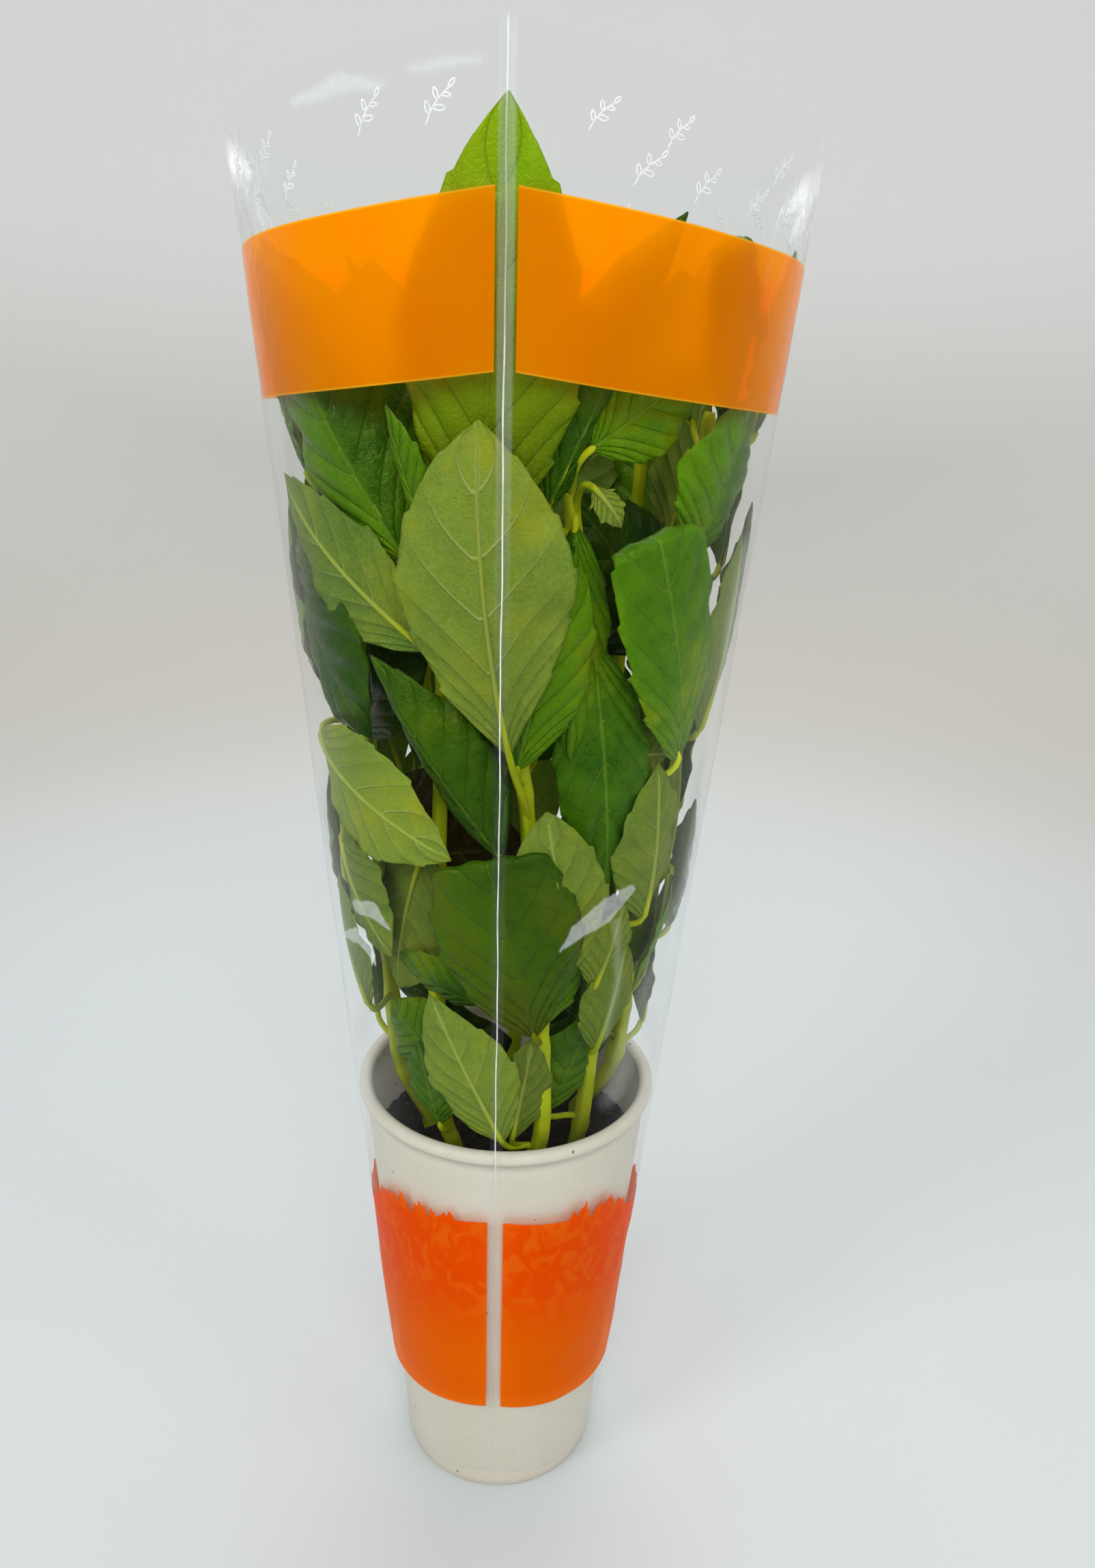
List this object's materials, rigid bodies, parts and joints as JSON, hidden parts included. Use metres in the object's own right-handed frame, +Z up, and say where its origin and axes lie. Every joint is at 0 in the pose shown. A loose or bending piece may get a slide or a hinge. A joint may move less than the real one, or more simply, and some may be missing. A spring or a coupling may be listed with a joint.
{
  "type": "potted basil plant",
  "caption": "Young basil plant with many leafy stems, rooted in a white paper cup and wrapped in a clear conical sleeve with two orange bands.",
  "frame": {"origin": "centre of the circle on which the cup's foot ring stands", "axes": "+Z up along the cup's axis, -Y towards the sleeve's front seam, +X to the right seen from the front"},
  "size_m": [0.1406, 0.1462, 0.3971],
  "materials": {
    "cup_paper": "satin",
    "growing_medium": "matte",
    "basil": "satin",
    "sleeve_film": "gloss"
  },
  "bodies": {
    "root": {"cup": "cup_paper", "root_cube": "growing_medium", "leafy_stem_front": "basil", "leafy_stem_front_left": "basil", "leafy_stem_front_right": "basil", "leafy_stem_left": "basil", "leafy_stem_right": "basil", "leafy_stem_back_left": "basil", "leafy_stem_back": "basil", "leafy_stem_back_right": "basil", "sleeve": "sleeve_film"}
  },
  "joints": []
}
